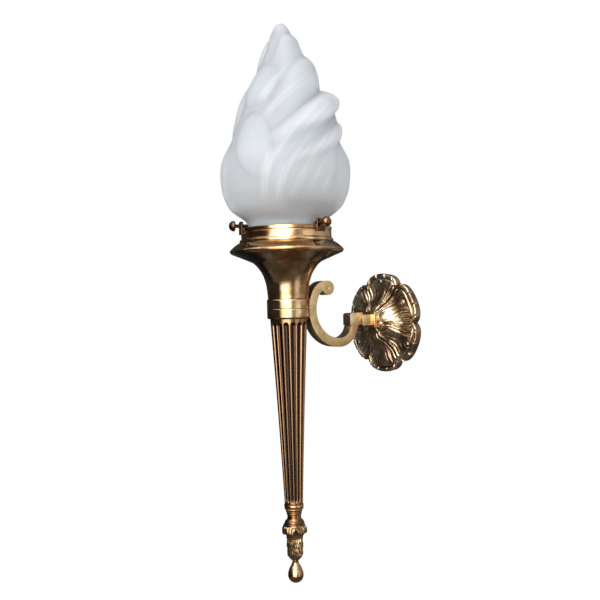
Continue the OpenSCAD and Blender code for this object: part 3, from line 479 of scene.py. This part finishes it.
dark_turned = aged_brass("turned brass, dark rings", (0.05, 0.02, 0.008), (0.3, 0.155, 0.058),
                         (0.62, 0.44, 0.24), 0.15, 60, 0.55)
for name, node, line, hole in (("cup_turning", "shaft_cup", cup_line, stud_hole),
                               ("neck_turning", "lower_neck", neck_line, stud_hole),
                               ("ball_turning", "ball_finial", ball_line, 0.2)):
    put(name, turned_piece(node, line, hole), dark_turned, "spun_brass", "fixture", node)


def collar_mesh():
    turn = np.linspace(0, 360, 288, endpoint=False)[None, :]
    fall = np.linspace(0.02, 11.98, 90)[:, None]
    lobe = (turn + 30) % 60 - 30
    core = smooth_line([(0, 10.3), (2, 10.5), (6, 9.6), (9, 9), (12, 8.6)], fall)
    drop = 9.2 - 4.2 * (abs(lobe) / 27) ** 2.4
    leaf_line = [(0, 10.3), (1.6, 11.2), (4, 12.7), (6, 13), (8, 12.6), (9.4, 11.6)]
    leaf = smooth_line(leaf_line, fall + 9.2 - drop)
    leaf = leaf - 0.7 * hump(lobe, 3) * ease(1, 5, fall)
    leaf = leaf + 0.25 * np.cos(np.radians(lobe * 26)) - 0.8 * ease(20, 29, abs(lobe))
    cover = ease(0.4, -0.3, fall - drop) * ease(29.5, 27, abs(lobe))
    return strung("leaf_collar", np.minimum(core + (leaf - core) * cover, 13), fall, stud_hole)


def bud_mesh():
    turn = np.linspace(0, 360, 288, endpoint=False)[None, :]
    fall = np.linspace(0.02, 25.98, 150)[:, None]
    bud_line = [(0, 8.3), (1.2, 7.8), (5, 8.1), (12, 7.9), (18, 7.6), (20.5, 6.9), (22.5, 5.6), (24.6, 3.7),
                (26, 3.2)]
    body = smooth_line(bud_line, fall)
    lobe = (turn + 30) % 60 - 30
    twin = turn % 60 - 30
    edge = 27 * ease(24, 12, fall) + 3
    rise = 0.45 * ease(2, -2, abs(lobe) - edge) * ease(25, 21, fall)
    vein = 0.35 * hump(lobe, 3.5) - 0.3 * hump(abs(lobe) - 5.5, 2.5)
    vein = vein + 0.28 * np.cos(np.radians(lobe * 24 + 40 * fall))
    tips = 0.5 * ease(1, -1, abs(twin) - 20 * ease(26, 14, fall)) * ease(10, 14, fall) * ease(25, 22, fall)
    arc = np.radians(turn) * 8
    knocks = 0.14 * swirl(arc, fall, 11, 1.1)
    radii = body - 0.45 + rise + vein * ease(24, 19, fall) + tips * 0.6 + knocks * ease(25.5, 22, fall)
    return strung("leaf_bud", radii, fall, stud_hole)


leaf_brass = aged_brass("cast brass, leaves", (0.04, 0.018, 0.008), (0.24, 0.145, 0.066),
                        (0.56, 0.42, 0.23), 0.24, 70, 0.5, relief=0.05)
put("collar_leaves", collar_mesh(), leaf_brass, "cast_brass", "fixture", "leaf_collar")
put("bud_leaves", bud_mesh(), leaf_brass, "cast_brass", "fixture", "leaf_bud")


# -------------------------------------------------------------------------------------- bell, gallery
# A bell spun from brass sheet, its rim cover, and the gallery band with three lugs whose thumbscrews
# hold the neck of the glass.
def sheet(line, wide):
    along = np.gradient(line, axis=0)
    along /= np.linalg.norm(along, axis=1)[:, None]
    return np.vstack([line, (line + wide * np.stack([-along[:, 1], along[:, 0]], axis=1))[::-1]])


rim_r = 58.2
brass_sheet = 1.2
# height over the bell's foot and radius
bell_sizes = [(0, 20.8), (4.4, 21), (8.3, 21.4), (12.6, 21.9), (16.5, 22.7), (20.7, 23.9), (24.8, 25.4),
              (29.2, 27.9), (33, 30.7), (37.2, 35), (39.1, 39), (41.2, 43.9), (43, 48), (44.8, 52.4),
              (46.4, 56.3), (47.5, 57.9), (48.5, rim_r)]
bell_rise = np.linspace(0, bell_sizes[-1][0], 120)
bell_shape = sheet(np.stack([smooth_line(bell_sizes, bell_rise), bell_rise], axis=1), brass_sheet)
bell_shape = np.vstack([[(tube_hole, 0)], bell_shape[:-1], [(19.6, 1.6), (tube_hole, 1.6)]])
put("spun_bell", spun("bell", bell_shape), spun_brass, "spun_brass", "fixture", "bell")
cover_sizes = [(0, 58.6), (0.37, 58.6), (1.29, 58.3), (3.1, 56.7), (5.6, 53.9), (7.7, 51), (8.9, 48.7),
               (9.2, 46.9)]
cover_rise = np.linspace(0, 9.18, 60)
cover_shape = sheet(np.stack([smooth_line(cover_sizes, cover_rise), cover_rise], axis=1), brass_sheet)
cover_inside = [(46.5, 9.2), (5.2, 9.2), (5.2, 8), (45.5, 8)]
cover_shape = np.vstack([cover_shape[:60], cover_inside, cover_shape[61:]])
put("spun_cover", spun("rim_cover", cover_shape), spun_brass, "spun_brass", "fixture", "rim_cover")
band_line = [(tube_hole, 0), (48.3, 0), (48.3, 1.8), (47.9, 2.5), (47.3, 3), (46.4, 3.3), (46.4, 10),
             (45.9, 10.4), (45.9, 10.9), (46.7, 11.3), (46.7, 14.1), (46.3, 14.5), (45.1, 14.5), (45.1, 1.5),
             (tube_hole, 1.5)]
put("gallery_band", spun("gallery_ring", band_line), spun_brass, "spun_brass", "fixture", "gallery_ring")


lug_inner_r = 46.3
lug_thick = 2.3
lug_corner_r = 2.5


def lug_mesh(angle):
    top = (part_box("gallery_ring")[1][2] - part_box("gallery_ring")[0][2]) / mm
    outline = [(-5.7, 8), (5.7, 8)]
    for middle, start in ((3.2, 0), (-3.2, 90)):
        for k in range(9):
            turn = math.radians(start + k * 90 / 8)
            across = middle + lug_corner_r * math.cos(turn)
            outline.append((across, top - lug_corner_r + lug_corner_r * math.sin(turn)))
    tab = bmesh.new()
    front = tab.faces.new([tab.verts.new((lug_inner_r, y, z)) for y, z in outline])
    raised = bmesh.ops.extrude_face_region(tab, geom=[front])
    outer = [v for v in raised["geom"] if isinstance(v, bmesh.types.BMVert)]
    bmesh.ops.translate(tab, verts=outer, vec=(lug_thick, 0, 0))
    bmesh.ops.recalc_face_normals(tab, faces=tab.faces)
    rims = [e for e in tab.edges if e.calc_face_angle(0) > math.radians(60)]
    bmesh.ops.bevel(tab, geom=rims, offset=0.3, segments=3, profile=0.5, affect="EDGES")
    mesh = bpy.data.meshes.new("lug")
    tab.to_mesh(mesh)
    tab.free()
    mesh.shade_smooth()
    place = Matrix.Translation((stem.x, stem.y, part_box("gallery_ring")[0][2]))
    mesh.transform(place @ Matrix.Scale(mm, 4) @ Matrix.Rotation(math.radians(angle), 4, "Z"))
    return mesh


for number, angle in enumerate((10, 130, 250)):
    put(f"lug_{number + 1}", lug_mesh(angle), dark_turned, "spun_brass", "fixture", "gallery_ring")
    node = f"thumbscrew_{number + 1}"
    turning = broken_edges(node, 0.0002)
    put(f"thumbscrew_turning_{number + 1}", turning, dark_turned, "spun_brass", node, node)


# ------------------------------------------------------------------------------------------ lamp bulb
# A bulb of opal glass, cemented into a nickelled screw cap with black glass round its contact. It is
# screwed into the holder inside the shade.
opal = plain_finish("opal glass", (0.9, 0.9, 0.88), (0.86, 0.86, 0.84), 0.25, 0, 20)
wear("bulb_glass", opal)
nickel = plain_finish("nickel plate", (0.66, 0.65, 0.62), (0.58, 0.57, 0.54), 0.2, 1, 150)
wear("bulb_cap", nickel)
vitrite = plain_finish("black vitrite", (0.03, 0.03, 0.035), (0.02, 0.02, 0.02), 0.2, 0, 90)
wear("bulb_tip", vitrite)


# ---------------------------------------------------------------------------------------- flame shade
# A shade of thick mould-blown glass, acid frosted all over: a swelling body from which lobes and tongues
# stand out and sweep up to the right, with soft folds between them. Its straight neck stands in the
# gallery.
ferrule_front, ferrule_back = (corner[1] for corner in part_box("ferrule"))
flame_axis = Vector((0, ferrule_front / 2 + ferrule_back / 2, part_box("glass_shade")[0][2]))
neck_r = 40
glass_wall = 3
neck_top = 18
flame_top = 222.8
# height over the lip and radius of the body under the tongues
body_line = [(18, 40), (21, 42), (26, 49), (30, 54), (34, 57), (42, 60), (50, 62), (58, 62.8), (66, 63),
             (78, 62), (87, 59.6), (95, 56.4), (111, 50), (128, 43.5), (144, 38), (161, 30.5), (177, 23),
             (185, 19.5), (194, 15.8), (202, 13.2), (210, 11), (216, 8.4), (220, 5.6), (222, 2.8),
             (flame_top, 0.3)]
# angle and height of the middle, half width in degrees, reach up, down and out, lean, edge, long soft tail
tongues = [(-42, 156, 37, 21, 24, 5.6, 0.1, 0.85, 0), (-35, 99, 23, 26, 44, 5.4, -0.3, 0.85, 0),
           (-90, 70, 30, 31, 42, 3, 0, 0.9, 0), (-100, 136, 30, 30, 36, 6, 0.2, 0.9, 0),
           (64, 175, 40, 12.5, 54, 12, 1.3, 0.55, 1), (76, 142, 28, 9.5, 56, 19, 1.7, 0.45, 1),
           (84, 113.5, 17, 8, 48, 9, 1.8, 0.5, 1), (80, 70, 26, 36, 44, 4.2, 0.1, 0.75, 0),
           (52, 201, 62, 9, 60, 5.5, 0.7, 0.55, 1), (154, 160, 38, 20, 70, 8, 0.9, 0.55, 1),
           (-152, 148, 34, 18, 60, 7, 0.8, 0.6, 1), (-174, 104, 30, 22, 60, 7.5, 0.7, 0.6, 1),
           (132, 112, 26, 13, 60, 9, 0.9, 0.5, 1), (-134, 98, 24, 24, 36, 4.6, 0.2, 0.8, 0),
           (118, 66, 26, 34, 42, 4, 0, 0.85, 0), (160, 64, 22, 28, 36, 3.4, 0, 0.9, 0),
           (-160, 62, 22, 28, 36, 2.8, 0, 0.9, 0), (-122, 62, 20, 28, 38, 3.4, 0, 0.9, 0),
           (178, 197, 50, 10, 50, 5, 0.7, 0.55, 1), (-112, 192, 40, 14, 40, 5, 0.6, 0.7, 1),
           (116, 148, 30, 10, 60, 12, 0.9, 0.5, 1)]
# angle and height of the foot, angle and height of the top, half width in degrees, rise
folds = [(-16, 44, 58, 146, 13, 2.6), (-2, 42, 70, 136, 11, 2.6), (11, 40, 78, 126, 10, 2.4),
         (24, 38, 86, 116, 9.5, 2.2), (-27, 106, 52, 166, 12, 2.2), (-34, 126, 32, 182, 13, 2),
         (37, 34, 62, 92, 9, 2.2), (-22, 30, -10, 90, 7, 1.2), (-8, 30, 4, 76, 6, 0.8),
         (6, 28, 16, 66, 6, 0.8),
         (104, 44, 158, 124, 12, 2.4), (126, 42, 178, 112, 11, 2.4), (-172, 88, -116, 172, 12, 2.4),
         (-156, 44, -126, 102, 10, 1), (146, 80, 198, 150, 12, 2.2)]


def turned(angle):
    return (angle + 180) % 360 - 180


def fold_place(angle, height, foot, low, head, high, width):
    t = (height - low) / (high - low)
    along = np.clip(t, 0, 1)
    return t, turned(angle - foot - (head - foot) * along ** 1.8) / (width * (0.7 + 0.7 * along))


def flame_reach(angle, height):
    out = np.zeros(np.broadcast(angle, height).shape)
    for middle, level, width, up, down, reach, lean, edge, tail in tongues:
        v = (height - level) / np.where(height > level, up, down)
        spread = width * (1 + 0.35 * np.clip(-v, 0, 1) * tail)
        u = turned(angle - middle - lean * (height - level)) / spread
        power = edge + tail * 1.3 * ease(0.1, 0.8, -v)
        out = np.hypot(out, reach * np.clip(1 - u * u - v * v, 0, 1) ** power)
    for *fold, rise in folds:
        t, u = fold_place(angle, height, *fold)
        wave = 0.9 * rise * ease(0, 0.35, t) * (1 - ease(0.6, 1, t)) * np.clip(1 - u * u, 0, 1) ** 1.4
        out = out + wave * (1 - np.clip(out / 8, 0, 0.85))
    return out


# Painted highlight: thin light lines along each fold, used only in the glass's colour, not in its shape.
def painted_fold_highlights(angle, height):
    lines = np.zeros(np.broadcast(angle, height).shape)
    for fold in folds:
        t, u = fold_place(angle, height, *fold[:-1])
        for place in (-0.15, 0.55):
            lines += hump(u - place, 0.14) * ease(0, 0.3, t) * (1 - ease(0.75, 1, t))
    return np.clip(lines, 0, 1)


def flame_mesh():
    around = np.linspace(0, 360, 300, endpoint=False)[None, :]
    tip_rows = flame_top - 0.12 * (1.5 ** np.arange(7))
    rows = np.concatenate([tip_rows, np.linspace(flame_top - 3, neck_top, 205)])[:, None]
    outer = smooth_line(body_line, rows) + flame_reach(around, rows)
    broad = blurred(outer, 260)
    # the relief is full at the outline's tongues and half on the front sheet, firmer on its left side
    kept = 0.46 + 0.54 * ease(58, 86, abs(turned(around))) + 0.2 * ease(12, -12, turned(around))
    outer = broad + (outer - broad) * np.minimum(kept, 1)
    bore_r = neck_r - glass_wall
    lip = [(neck_top * 0.6, neck_r), (neck_top * 0.3, neck_r), (1.2, neck_r), (0.5, neck_r - 0.15),
           (0.12, neck_r - 0.6), (0, neck_r - 1.4), (0.12, bore_r + 0.6), (0.5, bore_r + 0.15),
           (1.2, bore_r), (neck_top - 0.5, bore_r)]
    rise = np.linspace(neck_top + 2, flame_top - 10, 44)[:, None]
    follow = 0.35 * flame_reach(around, rise) * (1 - ease(180, 212, rise))
    inner = smooth_line(body_line, rise) - glass_wall + follow
    heights = [*rows[:, 0], *(z for z, r in lip), *rise[:, 0]]
    radii = np.vstack([outer, np.array([r for z, r in lip])[:, None] + 0 * around, inner])
    lean = np.radians(around - 35 - 0 * radii)
    levels = np.array(heights)[:, None] + 0 * radii
    rings = np.stack([radii * np.cos(lean), radii * np.sin(lean), levels], axis=2)
    # Painted shade and highlight: the glass is coloured darker where its skin dips below its blurred self,
    # and lighter on ridges and along the fold lines.
    painted_shade_and_highlight = np.zeros(radii.shape)
    painted_shade_and_highlight[:len(outer)] = outer - blurred(outer, 40) + 0.55 * painted_fold_highlights(around, rows)
    return rings, painted_shade_and_highlight


rings, painted_shade_and_highlight = flame_mesh()
tip = (0, 0, flame_top)
shade_mesh = ring_mesh("flame shade", rings, tip, (0, 0, flame_top - 9.6))
hollow = shade_mesh.attributes.new("painted_shade_and_highlight", "FLOAT", "POINT")
hollow.data.foreach_set("value", [*painted_shade_and_highlight.reshape(-1), 0, 0])
shade_mesh.transform(Matrix.Translation(flame_axis) @ Matrix.Scale(mm, 4))

# The frosted glass's colour carries painted shade in its creases and painted highlights on its ridges and
# fold lines, read from a per-point attribute.
frosted, shader = start_finish("frosted glass")
place = step(frosted, "TexCoord").outputs["Object"]
cloud = step(frosted, "TexNoise", {"Vector": place, "Scale": 25, "Detail": 4})
depth = step(frosted, "Attribute", attribute_name="painted_shade_and_highlight", attribute_type="GEOMETRY")
deep = step(frosted, "MapRange", {"Value": depth.outputs["Fac"], "From Min": -2.2, "From Max": 1.6})
mixed = step(frosted, "Mix", {0: 0.12, 2: deep.outputs["Result"], 3: cloud.outputs["Fac"]})
milky_tones_with_painted_shade = [(0.1, (0.5, 0.53, 0.57)), (0.6, (0.61, 0.645, 0.685)), (0.95, (0.78, 0.81, 0.85))]
feed(frosted, shader.inputs["Base Color"], grading(frosted, mixed.outputs[0], milky_tones_with_painted_shade))
bite = step(frosted, "TexNoise", {"Vector": place, "Scale": 1500, "Detail": 2})
bump = step(frosted, "Bump", {"Height": bite.outputs["Fac"], "Strength": 0.08, "Distance": 0.0002})
feed(frosted, shader.inputs["Normal"], bump.outputs["Normal"])
dull = step(frosted, "MapRange", {"Value": cloud.outputs["Fac"], "To Min": 0.38, "To Max": 0.5})
feed(frosted, shader.inputs["Roughness"], dull.outputs["Result"])
shader.inputs["Subsurface Weight"].default_value = 0.9
shader.inputs["Subsurface Radius"].default_value = (0.014, 0.014, 0.014)
shader.inputs["Subsurface Scale"].default_value = 1
shader.inputs["IOR"].default_value = 1.5
put("flame_shade", shade_mesh, frosted, "frosted_glass", "glass", "glass_shade")


# --------------------------------------------------------------------------------------------- studio
# A pale floor, two tall soft lights in front and one above, and a camera a little over 0.8 m from the
# torch, at the height of the rosette. Metal mirrors a bright window in front and a dim room beside it.
eye = Vector((0.6496, -0.6100, 0.0314))
aim = math.radians(53.13)
dip = math.radians(0.22)
tilt = math.radians(1.6)
ahead = Vector((-math.sin(aim) * math.cos(dip), math.cos(aim) * math.cos(dip), -math.sin(dip)))
right = Vector((math.cos(aim), math.sin(aim), 0))
above = right.cross(ahead)
side = right * math.cos(tilt) - above * math.sin(tilt)
top = right * math.sin(tilt) + above * math.cos(tilt)
lens = bpy.data.cameras.new("camera")
lens.sensor_width = 36
lens.lens = 46.8
lens.clip_start = 0.01
lens.clip_end = 50
camera = bpy.data.objects.new("camera", lens)
camera.matrix_world = Matrix(((side.x, top.x, -ahead.x, eye.x), (side.y, top.y, -ahead.y, eye.y),
                              (side.z, top.z, -ahead.z, eye.z), (0, 0, 0, 1)))
bpy.context.scene.collection.objects.link(camera)
bpy.context.scene.camera = camera

bpy.context.scene.view_settings.view_transform = "Standard"

world = bpy.data.worlds.new("studio")
bpy.context.scene.world = world
world.use_nodes = True
world.node_tree.nodes.clear()
ray = step(world, "LightPath")
seen = step(world, "Math", {0: ray.outputs["Is Camera Ray"], 1: ray.outputs["Is Transmission Ray"]},
            operation="MAXIMUM")
way = step(world, "TexCoord").outputs["Generated"]
front = step(world, "VectorMath", {0: way, 1: (0.8, 0.6, 0)}, operation="DOT_PRODUCT")
room = step(world, "MapRange", {"Value": front.outputs["Value"], "To Min": 0.05, "To Max": 0.75})
rise = step(world, "SeparateXYZ", {0: way})
under = step(world, "MapRange",
             {"Value": rise.outputs["Z"], "From Min": -0.65, "From Max": 0.05, "To Min": 0.08})
level = step(world, "VectorMath", {0: way, 1: (1, 1, 0)}, operation="MULTIPLY")
level = step(world, "VectorMath", {0: level.outputs["Vector"]}, operation="NORMALIZE")
facing = step(world, "VectorMath", {0: level.outputs["Vector"], 1: (0.656, -0.755, 0)},
              operation="DOT_PRODUCT")
window = step(world, "MapRange",
              {"Value": facing.outputs["Value"], "From Min": 0.84, "From Max": 0.96, "To Max": 4})
overhead = step(world, "VectorMath", {0: way, 1: (0.42, -0.48, 0.77)}, operation="DOT_PRODUCT")
overhead = step(world, "MapRange",
                {"Value": overhead.outputs["Value"], "From Min": 0.55, "From Max": 0.95, "To Max": 2.2})
room = step(world, "Math", {0: room.outputs["Result"], 1: window.outputs["Result"]}, operation="ADD")
room = step(world, "Math", {0: room.outputs[0], 1: overhead.outputs["Result"]}, operation="ADD")
room = step(world, "Math", {0: room.outputs[0], 1: under.outputs["Result"]}, operation="MULTIPLY")
soft = step(world, "Background", {"Color": (1, 1, 1, 1), "Strength": 0.68})
shown = step(world, "Background", {"Color": (1, 1, 1, 1), "Strength": 1})
mirrored = step(world, "Background", {"Color": (1, 1, 1, 1), "Strength": room.outputs[0]})
first = step(world, "MixShader",
             {0: ray.outputs["Is Glossy Ray"], 1: soft.outputs[0], 2: mirrored.outputs[0]})
both = step(world, "MixShader", {0: seen.outputs[0], 1: first.outputs[0], 2: shown.outputs[0]})
step(world, "OutputWorld", {"Surface": both.outputs[0]})


def soft_light(name, spot, target, width, height, power):
    lamp = bpy.data.lights.new(name, "AREA")
    lamp.shape = "RECTANGLE"
    lamp.size = width
    lamp.size_y = height
    lamp.energy = power
    light = bpy.data.objects.new(name, lamp)
    light.location = spot
    light.rotation_euler = (Vector(target) - Vector(spot)).to_track_quat("-Z", "Y").to_euler()
    bpy.context.scene.collection.objects.link(light)


torch = Vector((0, -0.138, 0.03))
back = Vector((math.sin(aim), -math.cos(aim), 0))
soft_light("key light", torch + back * 1.15 - right * 0.3 + Vector((0, 0, 0.15)), torch, 0.7, 1.4, 7.5)
soft_light("right light", torch + back * 0.7 + right * 1.0 + Vector((0, 0, -0.05)), torch, 0.6, 1.2, 1.4)
soft_light("high left light", torch + Vector((-0.34, -0.94, 0.84)), torch, 1.2, 1.0, 2.5)


# A plain pale floor, well under the sconce. Metal mirrors it darker than it looks.
floor_z = -1.6
floor_corners = [(-1.8, -4, floor_z), (3, -4, floor_z), (3, 1.5, floor_z), (-1.8, 1.5, floor_z)]
floor_mesh = bpy.data.meshes.new("floor")
floor_mesh.from_pydata(floor_corners, [], [(0, 1, 2, 3)])
floor = bpy.data.objects.new("floor", floor_mesh)
bpy.context.scene.collection.objects.link(floor)
chalk, shader = start_finish("pale floor")
way_in = step(chalk, "LightPath")
clear = step(chalk, "Math", {0: way_in.outputs["Is Camera Ray"], 1: way_in.outputs["Is Transmission Ray"]},
             operation="ADD")
glow = step(chalk, "Math", {0: clear.outputs[0], 1: 0.55}, operation="MULTIPLY")
paleness = grading(chalk, way_in.outputs["Is Glossy Ray"], [(0, (0.9, 0.9, 0.9)), (1, (0.2, 0.2, 0.2))])
feed(chalk, shader.inputs["Base Color"], paleness)
shader.inputs["Roughness"].default_value = 0.9
shader.inputs["Specular IOR Level"].default_value = 0.1
shader.inputs["Emission Color"].default_value = (1, 1, 1, 1)
feed(chalk, shader.inputs["Emission Strength"], glow.outputs[0])
floor.data.materials.append(chalk)
